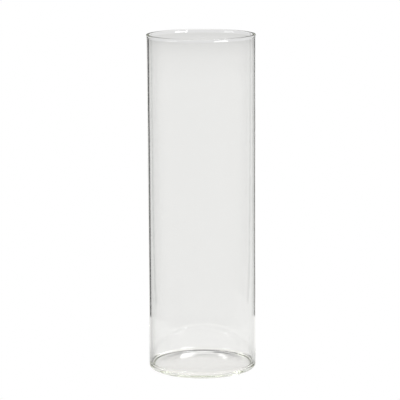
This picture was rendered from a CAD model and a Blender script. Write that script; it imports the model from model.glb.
# %% [markdown]
# # A clear glass cylinder vase
#
# The real vase is one thin-walled body of glass, made from a length of drawn tube and a flat base that
# are fused together. Clear glass has no colour of its own to look at: we only see what it bends,
# reflects and soaks up. So this lesson has two halves. First comes an exact glass body, and then a
# studio whose bright and dark cards give the glass something to show.
#
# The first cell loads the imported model. It fixes the sizes, and nothing below changes them.

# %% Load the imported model
import bmesh
import bpy
import math
from mathutils import Matrix, Vector


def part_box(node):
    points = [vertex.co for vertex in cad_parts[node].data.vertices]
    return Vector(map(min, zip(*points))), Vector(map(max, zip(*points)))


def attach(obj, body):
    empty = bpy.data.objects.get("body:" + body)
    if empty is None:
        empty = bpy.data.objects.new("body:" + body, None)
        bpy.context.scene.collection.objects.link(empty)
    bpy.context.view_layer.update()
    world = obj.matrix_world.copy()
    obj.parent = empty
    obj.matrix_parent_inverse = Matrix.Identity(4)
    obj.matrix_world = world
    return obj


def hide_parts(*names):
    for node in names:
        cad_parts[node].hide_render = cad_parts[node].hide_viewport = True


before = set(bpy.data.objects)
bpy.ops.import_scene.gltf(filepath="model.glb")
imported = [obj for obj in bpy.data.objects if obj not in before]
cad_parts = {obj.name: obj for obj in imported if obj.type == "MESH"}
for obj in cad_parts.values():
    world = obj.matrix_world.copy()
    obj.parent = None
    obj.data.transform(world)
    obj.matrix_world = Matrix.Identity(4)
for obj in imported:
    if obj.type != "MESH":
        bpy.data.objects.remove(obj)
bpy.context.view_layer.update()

print("CAD nodes:", sorted(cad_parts))

# %% [markdown]
# ## The sizes of the glass
#
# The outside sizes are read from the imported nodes. The sizes that a box can't tell, such as the wall
# and the radii, are the design's own and are named here in metres.

# %% Sizes of the glass
MM = 0.001

_, base_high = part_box("base_disc")
_, tube_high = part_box("glass_tube")

outside_radius = base_high.x
height = tube_high.z
floor_height = base_high.z
bead_proud = tube_high.x - outside_radius

WALL = 1.8 * MM
HEEL_RADIUS = 1.5 * MM
FILLET_RADIUS = 3.0 * MM
PUSH_UP = 0.5 * MM
FOOT_RING = 4.0 * MM
PUSH_UP_LEVEL = 17.0 * MM
BEAD_LENGTH = 2.2 * MM
BEAD_EDGE = 0.3 * MM

print(f"outside {2000 * outside_radius:.1f} mm, height {1000 * height:.1f} mm, wall {1000 * WALL:.1f} mm")
print(f"floor {1000 * floor_height:.2f} mm up, rim bead proud by {1000 * bead_proud:.2f} mm")

# %% [markdown]
# ## The camera
#
# The camera comes before the making, so that each step can be looked at through it. It is a long lens
# from about 1.4 m away, a little above the rim, looking about ten and a half degrees down. From that
# far away the two sides stay nearly parallel. It leans a third of a degree, as a hand-set tripod does.

# %% Camera
CAMERA_PLACE = Vector((-0.0013, -1.4018, 0.3873))
LOOK_DOWN = math.radians(10.54)
LEAN = math.radians(-0.304)
LENS_MM = 172.5

camera_data = bpy.data.cameras.new("camera")
camera_data.lens = LENS_MM
camera_data.sensor_width = 36.0
camera_data.clip_start = 0.01
camera_data.clip_end = 50.0
camera = bpy.data.objects.new("camera", camera_data)
bpy.context.scene.collection.objects.link(camera)
camera.matrix_world = (
    Matrix.Translation(CAMERA_PLACE)
    @ Matrix.Rotation(math.pi / 2 - LOOK_DOWN, 4, "X")
    @ Matrix.Rotation(LEAN, 4, "Z")
)
bpy.context.scene.camera = camera
print("camera is", round((CAMERA_PLACE - Vector((0, 0, height / 2))).length, 3), "m from the vase's middle")

# %% [markdown]
# ## A helper for wiring nodes
#
# Every tree below, for geometry and for shading, is built from the same three moves: add a node, set
# some of its values, and link sockets into it. One small function does all three, so that each later
# line reads as one step of the recipe. A value that is a socket is linked, and any other is set.

# %% Wiring helper
def add(tree, kind, inputs=None, **settings):
    """Adds a node, applies its settings, then links or sets the inputs given by name or number."""
    node = tree.nodes.new(kind)
    for name, value in settings.items():
        setattr(node, name, value)
    for key, value in (inputs or {}).items():
        if isinstance(value, bpy.types.NodeSocket):
            tree.links.new(value, node.inputs[key])
        else:
            node.inputs[key].default_value = value
    return node


def maths(tree, operation, first, second=0.0):
    """One Math node, as its result socket."""
    return add(tree, "ShaderNodeMath", {0: first, 1: second}, operation=operation).outputs[0]


# %% [markdown]
# ## The glass body, turned by Geometry Nodes
#
# On the real vase the wall, the rounded rim, the fillet inside the foot and the flat floor all share
# one axis. A Spin or a Screw modifier could turn a drawn outline about it, but each size would then be
# frozen in the drawing. Here a Geometry Nodes tree draws the outline from named sizes, so the shape
# follows a rule: a short list of corners joined by straight runs, each corner with its own round.
#
# The wall and the base are one body here, though the CAD keeps them as two solids. They are fused on
# the real vase, and two glass bodies that only touch would show a mirror between them, because light
# would leave one and enter the other.

# %% The outline's corners, as a rule
tree = bpy.data.node_groups.new("turned_vase", "GeometryNodeTree")
tree.is_modifier = True
tree.interface.new_socket("Geometry", in_out="OUTPUT", socket_type="NodeSocketGeometry")

SIZES = {
    "Outside Radius": outside_radius,
    "Height": height,
    "Wall": WALL,
    "Floor Height": floor_height,
    "Heel Radius": HEEL_RADIUS,
    "Fillet Radius": FILLET_RADIUS,
    "Push Up": PUSH_UP,
    "Push Up Level": PUSH_UP_LEVEL,
    "Foot Ring": FOOT_RING,
    "Bead Proud": bead_proud,
    "Bead Length": BEAD_LENGTH,
    "Bead Edge": BEAD_EDGE,
    "Unevenness": 0.03 * MM,
}
COUNTS = {"Segments": 480, "Seed": 7}

for name in SIZES:
    tree.interface.new_socket(name, in_out="INPUT", socket_type="NodeSocketFloat")
for name in COUNTS:
    tree.interface.new_socket(name, in_out="INPUT", socket_type="NodeSocketInt")
tree.interface.new_socket("Material", in_out="INPUT", socket_type="NodeSocketMaterial")
size = tree.nodes.new("NodeGroupInput").outputs

inner_radius = maths(tree, "SUBTRACT", size["Outside Radius"], size["Wall"])
bead_outside = maths(tree, "ADD", size["Outside Radius"], size["Bead Proud"])
bead_inside = maths(tree, "SUBTRACT", inner_radius, size["Bead Proud"])
bead_low = maths(tree, "SUBTRACT", size["Height"], size["Bead Length"])
bead_high = maths(tree, "SUBTRACT", size["Height"], maths(tree, "MULTIPLY", size["Bead Edge"], 2.0))
ring_outside = maths(tree, "SUBTRACT", size["Outside Radius"], size["Heel Radius"])
ring_inside = maths(tree, "SUBTRACT", ring_outside, size["Foot Ring"])

# Each corner is (radius, height, the round's own radius), from the axis underneath, out and up over
# the rim, and back down the inside to the axis.
BEAD_BLEND = 2.5 * MM
PUSH_BLEND = 250 * MM
corners = [
    (0.0, size["Push Up"], 0.0),
    (size["Push Up Level"], size["Push Up"], PUSH_BLEND),
    (ring_inside, 0.0, PUSH_BLEND),
    (size["Outside Radius"], 0.0, size["Heel Radius"]),
    (size["Outside Radius"], bead_low, BEAD_BLEND),
    (bead_outside, bead_high, BEAD_BLEND),
    (bead_outside, size["Height"], size["Bead Edge"]),
    (bead_inside, size["Height"], size["Bead Edge"]),
    (bead_inside, bead_high, BEAD_BLEND),
    (inner_radius, bead_low, BEAD_BLEND),
    (inner_radius, size["Floor Height"], size["Fillet Radius"]),
    (0.0, size["Floor Height"], 0.0),
]


def by_index(values, data_type):
    """An Index Switch that gives each point of the outline its own value."""
    index = tree.nodes.new("GeometryNodeInputIndex").outputs[0]
    switch = add(tree, "GeometryNodeIndexSwitch", {0: index}, data_type=data_type)
    while len(switch.index_switch_items) < len(values):
        switch.index_switch_items.new()
    for place, value in enumerate(values):
        if isinstance(value, bpy.types.NodeSocket):
            tree.links.new(value, switch.inputs[place + 1])
        else:
            switch.inputs[place + 1].default_value = value
    return switch.outputs[0]


points = [add(tree, "ShaderNodeCombineXYZ", {0: r, 2: z}).outputs[0] for r, z, _ in corners]
places = by_index(points, "VECTOR")
rounds = by_index([corner[2] for corner in corners], "FLOAT")
print("outline corners:", len(corners))

# %% [markdown]
# Fillet Curve rounds each corner by its own radius. The long runs of wall are then cut every few
# millimetres, because a later step makes the wall very slightly uneven, and a run with no points in it
# couldn't bend.

# %% Round the corners and cut the long runs
ROUND_STEPS = 12
RUN_STEP = 10 * MM

line = add(tree, "GeometryNodeMeshLine", {"Count": len(corners)})
placed = add(tree, "GeometryNodeSetPosition", {"Geometry": line.outputs[0], "Position": places})
curve = add(tree, "GeometryNodeMeshToCurve", {0: placed.outputs[0]})
rounded = add(
    tree,
    "GeometryNodeFilletCurve",
    {"Curve": curve.outputs[0], "Count": ROUND_STEPS, "Radius": rounds, "Limit Radius": True},
    mode="POLY",
)

here = tree.nodes.new("GeometryNodeInputPosition").outputs[0]
index = tree.nodes.new("GeometryNodeInputIndex").outputs[0]
next_index = add(tree, "FunctionNodeIntegerMath", {0: index, 1: 1}, operation="ADD").outputs[0]
ahead = add(
    tree, "GeometryNodeFieldAtIndex", {"Index": next_index, "Value": here}, data_type="FLOAT_VECTOR"
).outputs[0]
run = add(tree, "ShaderNodeVectorMath", {0: here, 1: ahead}, operation="DISTANCE").outputs["Value"]
cuts = maths(tree, "FLOOR", maths(tree, "DIVIDE", run, RUN_STEP))
cut_curve = add(tree, "GeometryNodeSubdivideCurve", {"Curve": rounded.outputs[0], "Cuts": cuts})
outline = add(tree, "GeometryNodeCurveToMesh", {"Curve": cut_curve.outputs[0]}).outputs[0]

# %% [markdown]
# The outline is turned by laying a grid over it: one row of the grid for each point of the outline, and
# one column for each step round the axis. Each grid point looks up its outline point and swings it
# round by its own angle. The seam and the two poles land on themselves, and Merge by Distance closes
# them into one watertight skin.

# %% Turn the outline
count = add(tree, "GeometryNodeAttributeDomainSize", {0: outline}, component="MESH").outputs[0]
columns = add(tree, "FunctionNodeIntegerMath", {0: size["Segments"], 1: 1}, operation="ADD").outputs[0]
grid = add(tree, "GeometryNodeMeshGrid", {"Vertices X": count, "Vertices Y": columns}).outputs[0]

grid_index = tree.nodes.new("GeometryNodeInputIndex").outputs[0]
share = {0: grid_index, 1: columns}
row = add(tree, "FunctionNodeIntegerMath", share, operation="DIVIDE_FLOOR").outputs[0]
column = add(tree, "FunctionNodeIntegerMath", share, operation="MODULO").outputs[0]
from_outline = add(
    tree,
    "GeometryNodeSampleIndex",
    {"Geometry": outline, "Value": here, "Index": row},
    data_type="FLOAT_VECTOR",
    domain="POINT",
).outputs[0]
outline_point = add(tree, "ShaderNodeSeparateXYZ", {0: from_outline}).outputs
turn_share = maths(tree, "DIVIDE", column, size["Segments"])
turn = maths(tree, "MULTIPLY", turn_share, 2 * math.pi)
turned_place = add(
    tree,
    "ShaderNodeCombineXYZ",
    {
        0: maths(tree, "MULTIPLY", outline_point[0], maths(tree, "COSINE", turn)),
        1: maths(tree, "MULTIPLY", outline_point[0], maths(tree, "SINE", turn)),
        2: outline_point[2],
    },
).outputs[0]
turned = add(tree, "GeometryNodeSetPosition", {"Geometry": grid, "Position": turned_place}).outputs[0]
MERGE_DISTANCE = 0.002 * MM
closed = add(
    tree, "GeometryNodeMergeByDistance", {"Geometry": turned, "Distance": MERGE_DISTANCE}
).outputs[0]

# %% [markdown]
# Drawn glass is never perfectly even. Its wall swells and thins by a few hundredths of a millimetre
# over a few centimetres, and that is what makes a straight line seen through a vase waver. A smooth
# 4D noise, with its seed as the fourth number, moves each point along its normal by that much.

# %% Make the wall slightly uneven, and finish the tree
UNEVEN_SCALE = 22.0

noise = add(
    tree,
    "ShaderNodeTexNoise",
    {
        "Vector": tree.nodes.new("GeometryNodeInputPosition").outputs[0],
        "W": size["Seed"],
        "Scale": UNEVEN_SCALE,
        "Detail": 1.0,
        "Roughness": 0.4,
    },
    noise_dimensions="4D",
).outputs[0]
about_zero = maths(tree, "SUBTRACT", noise, 0.5)
swell = maths(tree, "MULTIPLY", about_zero, maths(tree, "MULTIPLY", size["Unevenness"], 2.0))
normal = tree.nodes.new("GeometryNodeInputNormal").outputs[0]
push = add(tree, "ShaderNodeVectorMath", {0: normal, "Scale": swell}, operation="SCALE").outputs[0]
uneven = add(tree, "GeometryNodeSetPosition", {"Geometry": closed, "Offset": push}).outputs[0]
smooth = add(tree, "GeometryNodeSetShadeSmooth", {"Geometry": uneven}).outputs[0]
plain = add(tree, "GeometryNodeRealizeInstances", {"Geometry": smooth}).outputs[0]
painted = add(tree, "GeometryNodeSetMaterial", {"Geometry": plain, "Material": size["Material"]}).outputs[0]
add(tree, "NodeGroupOutput", {0: painted})
print("nodes in the turning tree:", len(tree.nodes))

# %% [markdown]
# ## The marks that glass keeps
#
# Clean glass still isn't featureless. Drawing the tube leaves very faint lines along it, and cooling
# leaves a soft orange-peel ripple. A cloth leaves patches that are a touch less glossy. Each mark is a
# noise, stretched to the shape of what made it and measured in real sizes. They sit in a node group
# with named inputs that gives only numbers, and the glass shader itself stays in the material.

# %% Node group: drawn lines, ripple and wipe marks
def new_group(name, inputs, outputs):
    """A shader node group with float sockets; gives its tree and its input sockets."""
    group = bpy.data.node_groups.new(name, "ShaderNodeTree")
    for label, value in inputs.items():
        socket = group.interface.new_socket(label, in_out="INPUT", socket_type="NodeSocketFloat")
        socket.default_value = value
    for label in outputs:
        group.interface.new_socket(label, in_out="OUTPUT", socket_type="NodeSocketFloat")
    return group, group.nodes.new("NodeGroupInput").outputs


def stretched_noise(group, stretch, scale, detail):
    """Noise on the piece's own coordinates, stretched by a Mapping node, as values about 0.5."""
    coordinates = group.nodes.new("ShaderNodeTexCoord").outputs["Object"]
    mapped = add(group, "ShaderNodeMapping", {"Vector": coordinates, "Scale": stretch}).outputs[0]
    return add(
        group, "ShaderNodeTexNoise", {"Vector": mapped, "Scale": scale, "Detail": detail}
    ).outputs[0]


marks, marks_in = new_group(
    "glass_surface_marks",
    {
        "Line Depth": 0.0,
        "Line Scale": 1.0,
        "Ripple Depth": 0.0,
        "Ripple Scale": 1.0,
        "Wipe Roughness": 0.0,
    },
    ["Height", "Roughness"],
)
drawn_lines = stretched_noise(marks, (1.0, 1.0, 0.02), marks_in["Line Scale"], 2.0)
ripple = stretched_noise(marks, (1.0, 1.0, 0.6), marks_in["Ripple Scale"], 1.0)
WIPE_SCALE = 45.0
wipes = stretched_noise(marks, (1.0, 1.0, 0.45), WIPE_SCALE, 3.0)
line_height = maths(marks, "MULTIPLY", drawn_lines, marks_in["Line Depth"])
ripple_height = maths(marks, "MULTIPLY", ripple, marks_in["Ripple Depth"])
wiped = add(marks, "ShaderNodeMapRange", {"Value": wipes, "From Min": 0.5, "From Max": 0.75}).outputs[0]
add(
    marks,
    "NodeGroupOutput",
    {
        "Height": maths(marks, "ADD", line_height, ripple_height),
        "Roughness": maths(marks, "MULTIPLY", wiped, marks_in["Wipe Roughness"]),
    },
)

print("surface marks put out:", [item.name for item in marks.interface.items_tree][:2])

# %% [markdown]
# Two faces of the vase aren't polished. The foot ring picks up fine scuffs each time the vase is set
# down, and the flat top of the rim is satin where the tube was cut and only lightly melted. A satin top
# scatters what it bends, and that is why the rim's thin line stays grey all the way round instead of
# sparkling. Both faces are picked out by their height above the table, so no mask has to be painted.

# %% Node group: worn faces at the foot and the rim
scuffs, scuffs_in = new_group(
    "worn_faces",
    {"Ring Height": 0.1 * MM, "Scuff Roughness": 0.0, "Rim Height": 1.0, "Rim Roughness": 0.0},
    ["Roughness"],
)
scuff_coordinates = scuffs.nodes.new("ShaderNodeTexCoord").outputs["Object"]
above_table = add(scuffs, "ShaderNodeSeparateXYZ", {0: scuff_coordinates}).outputs[2]
near_table = maths(scuffs, "LESS_THAN", above_table, scuffs_in["Ring Height"])
SCRATCH_SCALE = 900.0
scratches = stretched_noise(scuffs, (1.0, 1.0, 1.0), SCRATCH_SCALE, 4.0)
scratched = add(
    scuffs, "ShaderNodeMapRange", {"Value": scratches, "From Min": 0.45, "From Max": 0.7}
).outputs[0]
scuffed = maths(scuffs, "MULTIPLY", near_table, scratched)
scuff_roughness = maths(scuffs, "MULTIPLY", scuffed, scuffs_in["Scuff Roughness"])
at_rim = maths(scuffs, "GREATER_THAN", above_table, scuffs_in["Rim Height"])
rim_roughness = maths(scuffs, "MULTIPLY", at_rim, scuffs_in["Rim Roughness"])
add(scuffs, "NodeGroupOutput", {"Roughness": maths(scuffs, "ADD", scuff_roughness, rim_roughness)})
print("node groups:", marks.name, "and", scuffs.name)

# %% [markdown]
# ## Clear soda-lime glass
#
# The glass is a Principled BSDF that transmits everything, with soda-lime glass's index of about 1.52.
# Tinting its colour would dye every surface alike. Real glass is tinted by depth instead: a thin wall
# looks clear, and only the long way along the base or round the rim shows a grey-green. Volume
# Absorption does just that.

# %% Glass material
GLASS_INDEX = 1.52
TINT = (0.74, 0.80, 0.50, 1.0)
TINT_DENSITY = 2.2

glass = bpy.data.materials.new("soda_lime_glass")
glass.use_nodes = True
glass_nodes = glass.node_tree
shader = glass_nodes.nodes["Principled BSDF"]
shader.inputs["Base Color"].default_value = (1.0, 1.0, 1.0, 1.0)
shader.inputs["Transmission Weight"].default_value = 1.0
shader.inputs["IOR"].default_value = GLASS_INDEX

surface = add(
    glass_nodes,
    "ShaderNodeGroup",
    {
        "Line Depth": 0.0010 * MM,
        "Line Scale": 260.0,
        "Ripple Depth": 0.0030 * MM,
        "Ripple Scale": 60.0,
        "Wipe Roughness": 0.004,
    },
    node_tree=marks,
)
worn = add(
    glass_nodes,
    "ShaderNodeGroup",
    {
        "Ring Height": 0.03 * MM,
        "Scuff Roughness": 0.10,
        "Rim Height": height - 0.06 * MM,
        "Rim Roughness": 0.5,
    },
    node_tree=scuffs,
)
roughness = maths(glass_nodes, "ADD", surface.outputs["Roughness"], worn.outputs[0])
bump = add(glass_nodes, "ShaderNodeBump", {"Height": surface.outputs["Height"], "Distance": 1.0})
absorption = add(glass_nodes, "ShaderNodeVolumeAbsorption", {"Color": TINT, "Density": TINT_DENSITY})
glass_nodes.links.new(roughness, shader.inputs["Roughness"])
glass_nodes.links.new(bump.outputs[0], shader.inputs["Normal"])
glass_nodes.links.new(absorption.outputs[0], glass_nodes.nodes["Material Output"].inputs["Volume"])

print("glass index", GLASS_INDEX, "and rim roughness", worn.inputs["Rim Roughness"].default_value)

# %% [markdown]
# ## Turning the vase
#
# The tree runs once on an empty mesh. Its inputs are set by each socket's identifier, because two
# sockets may share a name but never an identifier. The result is then taken as a plain mesh and the
# empty one thrown away, so that nothing live is left to change it later. Light bends the wrong way
# through a body whose faces point inwards, or that isn't closed, so both are checked here.

# %% Turn the vase and make it a plain mesh
blank = bpy.data.objects.new("vase_blank", bpy.data.meshes.new("vase_blank"))
bpy.context.scene.collection.objects.link(blank)
turning = blank.modifiers.new("turning", "NODES")
turning.node_group = tree
values = {**SIZES, **COUNTS, "Material": glass}
for item in tree.interface.items_tree:
    if item.in_out == "INPUT":
        turning[item.identifier] = values[item.name]

evaluated = blank.evaluated_get(bpy.context.evaluated_depsgraph_get())
vase_mesh = bpy.data.meshes.new_from_object(evaluated)
bpy.data.objects.remove(blank)
# Grid leaves an empty first slot, which Set Material keeps.
vase_mesh.materials.pop(index=0)
vase_mesh.name = "vase_glass"
vase = bpy.data.objects.new("vase_glass", vase_mesh)
bpy.context.scene.collection.objects.link(vase)

check = bmesh.new()
check.from_mesh(vase_mesh)
volume = check.calc_volume(signed=True)
open_edges = sum(1 for edge in check.edges if not edge.is_manifold)
if volume < 0:
    # The grid was turned the other way round, so its faces point inwards until they are flipped.
    bmesh.ops.reverse_faces(check, faces=check.faces)
    check.to_mesh(vase_mesh)
check.free()
print("faces:", len(vase_mesh.polygons), " open edges:", open_edges)
print("glass volume in cm3:", round(1e6 * abs(volume), 2), " material:", vase_mesh.materials[0].name)

# %% [markdown]
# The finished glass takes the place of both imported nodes, fills the material slot named in the record,
# and rides with the root, since a vase has nothing that moves.

# %% Join the frame
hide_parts("glass_tube", "base_disc")
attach(vase, "root")
print("replaced glass_tube and base_disc with", vase.name)

# %% [markdown]
# ## A studio for glass
#
# Glass needs bright-field light: a white ground behind it, so that it glows, and dark cards to either
# side of that ground, just outside the picture. The rims and the two edges bend the view sideways, so
# they catch the dark cards and draw themselves as fine dark lines. The room in front of the vase is
# dark, so nothing washes out the walls, and each surface takes its few percent of the light away.
#
# All of it stands on a turntable that keeps facing the camera, as it would if the vase were turned in
# front of a fixed camera. A Locked Track constraint does that about the upright axis.

# %% Turntable for the studio
turntable = bpy.data.objects.new("studio_turntable", None)
bpy.context.scene.collection.objects.link(turntable)
facing = turntable.constraints.new("LOCKED_TRACK")
facing.target = camera
facing.track_axis = "TRACK_NEGATIVE_Y"
facing.lock_axis = "LOCK_Z"


def studio_mesh(name, vertices, faces, material, seen_by_camera):
    """A studio piece. The camera sees only the floor; the glass sees only the cards."""
    mesh = bpy.data.meshes.new(name)
    mesh.from_pydata(vertices, [], faces)
    mesh.materials.append(material)
    piece = bpy.data.objects.new(name, mesh)
    bpy.context.scene.collection.objects.link(piece)
    piece.visible_camera = seen_by_camera
    piece.visible_transmission = not seen_by_camera
    piece.visible_glossy = not seen_by_camera
    piece.visible_shadow = False
    return piece


def glow(name):
    """A material that only gives light, and its tree, its emission node and its object coordinates."""
    material = bpy.data.materials.new(name)
    material.use_nodes = True
    nodes = material.node_tree
    nodes.nodes.clear()
    emission = nodes.nodes.new("ShaderNodeEmission")
    add(nodes, "ShaderNodeOutputMaterial", {0: emission.outputs[0]})
    coordinates = nodes.nodes.new("ShaderNodeTexCoord").outputs["Object"]
    return material, nodes, emission, add(nodes, "ShaderNodeSeparateXYZ", {0: coordinates}).outputs


def ramp(nodes, value, low, high, stops):
    """A brightness for each value: stops are (value, brightness) pairs between low and high."""
    share = add(nodes, "ShaderNodeMapRange", {"Value": value, "From Min": low, "From Max": high}).outputs[0]
    node = add(nodes, "ShaderNodeValToRGB", {0: share})
    elements = node.color_ramp.elements
    while len(elements) < len(stops):
        elements.new(0.5)
    for element, (at, brightness) in zip(elements, stops):
        element.position = (at - low) / (high - low)
        element.color = (brightness, brightness, brightness, 1.0)
    return node.outputs[0]


SIDE_OFFSET = 0.0385


def across_from_side(nodes, xyz):
    """How far out to either side of the vase a place lies, and nothing between its two sides."""
    beyond = maths(nodes, "SUBTRACT", maths(nodes, "ABSOLUTE", xyz[0]), SIDE_OFFSET)
    return maths(nodes, "MAXIMUM", beyond, 0.0)


def distance(nodes, x, y):
    """The distance from (0, 0) to (x, y)."""
    squares = maths(nodes, "ADD", maths(nodes, "MULTIPLY", x, x), maths(nodes, "MULTIPLY", y, y))
    return maths(nodes, "SQRT", squares)


def angle_from_side(nodes, xyz):
    """Degrees from straight behind, as seen from the vase's nearer side rather than from its middle."""
    angle = maths(nodes, "DEGREES", maths(nodes, "ARCTAN2", across_from_side(nodes, xyz), xyz[1]))
    return maths(nodes, "MULTIPLY", angle, maths(nodes, "SIGN", xyz[0]))


# %% [markdown]
# The floor that the camera sees is plain and pale. Just under it lies the table that the glass sees.
# Its brightness goes by direction from the vase, in degrees from straight behind, and by distance: a
# bright lane behind, two dark strips beside the lane, paler sides, and a dark front.

# %% Floor and table
FLOOR_HALF = 3.0
FLOOR_DEPTH = -0.6 * MM
TABLE_DEPTH = -0.4 * MM
TABLE_RADIUS = 3.0

floor_material, _, floor_glow, _ = glow("pale_floor")
floor_glow.inputs["Color"].default_value = (1.0, 1.0, 1.0, 1.0)
corners_xy = [(-1, -1), (1, -1), (1, 1), (-1, 1)]
floor_points = [(x * FLOOR_HALF, y * FLOOR_HALF, FLOOR_DEPTH) for x, y in corners_xy]
studio_mesh("pale_floor", floor_points, [(0, 1, 2, 3)], floor_material, True)

table_material, table_nodes, table_glow, table_xyz = glow("lit_table")
table_angle = angle_from_side(table_nodes, table_xyz)
table_distance = distance(table_nodes, table_xyz[0], table_xyz[1])
side_distance = distance(table_nodes, across_from_side(table_nodes, table_xyz), table_xyz[1])

FAR_TABLE = [
    (-180, 0.02), (-70, 0.02), (-52, 0.15), (-42, 0.45), (-34, 0.75), (-31, 0.04), (-21, 0.04),
    (-18.5, 0.9), (-12, 0.97), (13, 0.97), (16, 0.6), (18.5, 0.04), (25, 0.08), (28, 0.8),
    (40, 0.78), (50, 0.6), (65, 0.5), (90, 0.4), (115, 0.15), (180, 0.02),
]
NEAR_TABLE = [
    (-180, 0.05), (-110, 0.08), (-80, 0.3), (-50, 0.42), (-28, 0.72), (-17, 0.78), (-11, 0.95),
    (13, 0.97), (20, 0.88), (30, 0.85), (50, 0.6), (80, 0.4), (110, 0.1), (180, 0.05),
]
UNDER_VASE = (0.96, 0.95, 0.93, 1.0)
WARM_TABLE = (1.0, 1.0, 0.985, 1.0)
NEAR_TABLE_ENDS, FAR_TABLE_STARTS = 0.149, 0.156
UNDER_VASE_RADIUS = 0.043
FADE_WITH_DISTANCE = [(0.0, 1.0), (1.75, 1.0), (2.1, 0.96), (2.4, 0.88), (2.6, 0.78), (2.9, 0.88)]
far_glow = ramp(table_nodes, table_angle, -180, 180, FAR_TABLE)
near_glow = ramp(table_nodes, table_angle, -180, 180, NEAR_TABLE)
fade = ramp(table_nodes, table_distance, 0.0, 3.0, FADE_WITH_DISTANCE)
is_far = add(
    table_nodes,
    "ShaderNodeMapRange",
    {"Value": side_distance, "From Min": NEAR_TABLE_ENDS, "From Max": FAR_TABLE_STARTS},
).outputs[0]
is_under = maths(table_nodes, "LESS_THAN", table_distance, UNDER_VASE_RADIUS)
around = add(
    table_nodes, "ShaderNodeMix", {0: is_far, 6: near_glow, 7: far_glow}, data_type="RGBA"
).outputs[2]
lit = add(
    table_nodes, "ShaderNodeMix", {0: is_under, 6: around, 7: UNDER_VASE}, data_type="RGBA"
).outputs[2]


def multiply(nodes, first, second):
    """Two colours multiplied, as a socket."""
    inputs = {0: 1.0, 6: first, 7: second}
    return add(nodes, "ShaderNodeMix", inputs, data_type="RGBA", blend_type="MULTIPLY").outputs[2]


warm = multiply(table_nodes, multiply(table_nodes, lit, fade), WARM_TABLE)
table_nodes.links.new(warm, table_glow.inputs["Color"])

TABLE_SIDES = 72
table_turns = [2 * math.pi * k / TABLE_SIDES for k in range(TABLE_SIDES)]
table_points = [
    (TABLE_RADIUS * math.sin(turn), TABLE_RADIUS * math.cos(turn), TABLE_DEPTH) for turn in table_turns
]
table = studio_mesh("lit_table", table_points, [tuple(range(TABLE_SIDES))], table_material, False)
table.parent = turntable
print("table glows from", min(b for _, b in FAR_TABLE), "to", max(b for _, b in FAR_TABLE))

# %% [markdown]
# Behind the table stands a pale backdrop. The foot of the vase throws the view upwards as well as
# sideways, so it is the backdrop that fills the foot with light. Its lowest strip carries the same
# dark edges as the table, for the times when the camera looks straight along it.

# %% Backdrop
BACKDROP_RADIUS = 2.9
BACKDROP_HALF_WIDTH = 80
BACKDROP_TOP = 38
BACKDROP_STEPS = 32

backdrop_material, backdrop_nodes, backdrop_glow, backdrop_xyz = glow("pale_backdrop")
backdrop_angle = angle_from_side(backdrop_nodes, backdrop_xyz)
# The foot blends into the sheet above it between these two heights.
FOOT_ENDS, SHEET_STARTS = 0.16, 0.24
BACKDROP_FOOT = [
    (-80, 0.3), (-34, 0.7), (-31, 0.04), (-21, 0.04), (-18, 0.88),
    (16, 0.88), (18.5, 0.04), (26, 0.06), (29, 0.7), (80, 0.4),
]
low_glow = ramp(backdrop_nodes, backdrop_angle, -90, 90, BACKDROP_FOOT)
BACKDROP_UP = [
    (0.0, 0.88), (0.22, 0.88), (0.32, 0.8), (0.55, 0.8), (0.75, 0.85), (1.3, 0.85), (2.4, 0.6),
]
high_glow = ramp(backdrop_nodes, backdrop_xyz[2], 0.0, 2.4, BACKDROP_UP)
is_high = add(
    backdrop_nodes,
    "ShaderNodeMapRange",
    {"Value": backdrop_xyz[2], "From Min": FOOT_ENDS, "From Max": SHEET_STARTS},
).outputs[0]
backdrop_mix = add(
    backdrop_nodes, "ShaderNodeMix", {0: is_high, 6: low_glow, 7: high_glow}, data_type="RGBA"
).outputs[2]
backdrop_nodes.links.new(backdrop_mix, backdrop_glow.inputs["Color"])

backdrop_points = []
for k in range(BACKDROP_STEPS + 1):
    angle = math.radians(BACKDROP_HALF_WIDTH * (2 * k / BACKDROP_STEPS - 1))
    x, y = BACKDROP_RADIUS * math.sin(angle), BACKDROP_RADIUS * math.cos(angle)
    backdrop_points.append((x, y, TABLE_DEPTH))
    backdrop_points.append((x, y, BACKDROP_RADIUS * math.tan(math.radians(BACKDROP_TOP))))
backdrop_faces = [(2 * k, 2 * k + 1, 2 * k + 3, 2 * k + 2) for k in range(BACKDROP_STEPS)]
backdrop = studio_mesh("pale_backdrop", backdrop_points, backdrop_faces, backdrop_material, False)
backdrop.parent = turntable
print("backdrop is", BACKDROP_RADIUS, "m behind the vase")

# %% [markdown]
# A dim pale dome closes the studio from above. The walls of the vase never see it, because an upright
# wall that is looked down on only ever reflects what lies lower still. The rounded rim, fillet and heel
# do see it, and it keeps their dark lines from turning black.

# %% Ceiling dome
DOME_RADIUS = 2.95
DOME_LOW = 20
DOME_STEPS = 32
DOME_ROWS = 8
DOME_STRENGTH = 0.52

dome_material, _, dome_glow, _ = glow("pale_ceiling")
dome_glow.inputs["Strength"].default_value = DOME_STRENGTH
dome_points = []
for row in range(DOME_ROWS + 1):
    up = math.radians(DOME_LOW + (90 - DOME_LOW) * row / DOME_ROWS)
    for k in range(DOME_STEPS):
        around_dome = 2 * math.pi * k / DOME_STEPS
        dome_points.append(
            (
                DOME_RADIUS * math.cos(up) * math.sin(around_dome),
                DOME_RADIUS * math.cos(up) * math.cos(around_dome),
                DOME_RADIUS * math.sin(up),
            )
        )
dome_faces = [
    (
        row * DOME_STEPS + k,
        row * DOME_STEPS + (k + 1) % DOME_STEPS,
        (row + 1) * DOME_STEPS + (k + 1) % DOME_STEPS,
        (row + 1) * DOME_STEPS + k,
    )
    for row in range(DOME_ROWS)
    for k in range(DOME_STEPS)
]
dome = studio_mesh("pale_ceiling", dome_points, dome_faces, dome_material, False)
dome.parent = turntable
print("dome has", len(dome_faces), "faces, seen from", DOME_LOW, "degrees up")

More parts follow.
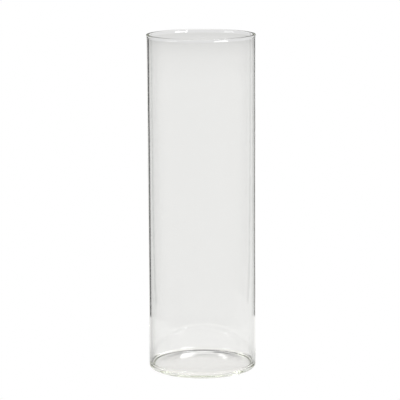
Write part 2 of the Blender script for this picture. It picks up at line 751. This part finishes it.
# %% [markdown]
# Two soft boxes stand to either side of the camera and give the rim, the fillet and the heel their
# highlights. The right one is nearer and much the brighter. A third hangs overhead. A soft box's power
# is worked out from the brightness that its face should have, because that is what the glass mirrors.

# %% Soft boxes
def soft_box(name, azimuth, elevation, distance, width, tall, brightness):
    """An area light on the turntable. Azimuth 0 is the camera's side, and positive is to its right."""
    side, up = math.radians(azimuth), math.radians(elevation)
    away = Vector((math.sin(side) * math.cos(up), -math.cos(side) * math.cos(up), math.sin(up)))
    light = bpy.data.lights.new(name, "AREA")
    light.shape = "RECTANGLE"
    light.size = width
    light.size_y = tall
    light.energy = brightness * math.pi * width * tall
    lamp = bpy.data.objects.new(name, light)
    bpy.context.scene.collection.objects.link(lamp)
    lamp.visible_camera = False
    lamp.parent = turntable
    aim = away.to_track_quat("Z", "Y").to_matrix().to_4x4()
    lamp.matrix_local = Matrix.Translation(away * distance) @ aim
    return lamp


soft_box("soft_box_right", 46, 45, 1.3, 0.62, 0.6, 12.0)
soft_box("soft_box_left", -69, 45, 1.3, 0.55, 0.6, 3.2)
soft_box("soft_box_overhead", 0, 88, 1.6, 1.4, 1.0, 0.7)
print("soft boxes:", sorted(light.name for light in bpy.data.lights))

# %% [markdown]
# The world does two jobs. To the camera it is plain white, like a background cut out for a catalogue.
# To the glass it is a dim room, which is all that is left to see between the cards. A Light Path node
# tells the two kinds of ray apart.

# %% World: white to the camera, a dim room to the glass
ROOM = 0.07
world = bpy.data.worlds.new("studio_room")
world.use_nodes = True
bpy.context.scene.world = world
room_nodes = world.node_tree
to_camera = room_nodes.nodes.new("ShaderNodeLightPath").outputs["Is Camera Ray"]
room_light = add(
    room_nodes,
    "ShaderNodeMix",
    {0: to_camera, 6: (ROOM, ROOM, ROOM, 1.0), 7: (1.0, 1.0, 1.0, 1.0)},
    data_type="RGBA",
).outputs[2]
room_nodes.links.new(room_light, room_nodes.nodes["Background"].inputs["Color"])
print("room brightness:", ROOM)

# %% [markdown]
# ## Enough bounces
#
# Light that enters the foot can run the whole way across inside the thin base, bouncing dozens of times
# between its two faces, as in an optical fibre. With two dozen bounces those paths still end early and
# parts of the foot turn black, so the limit is raised well past the usual twelve.

# %% Bounces and plain colours
BOUNCES = 96
cycles = bpy.context.scene.cycles
print("bounces raised from", cycles.max_bounces, "to", BOUNCES)
cycles.max_bounces = BOUNCES
cycles.transmission_bounces = BOUNCES
cycles.glossy_bounces = BOUNCES
bpy.context.scene.view_settings.view_transform = "Standard"
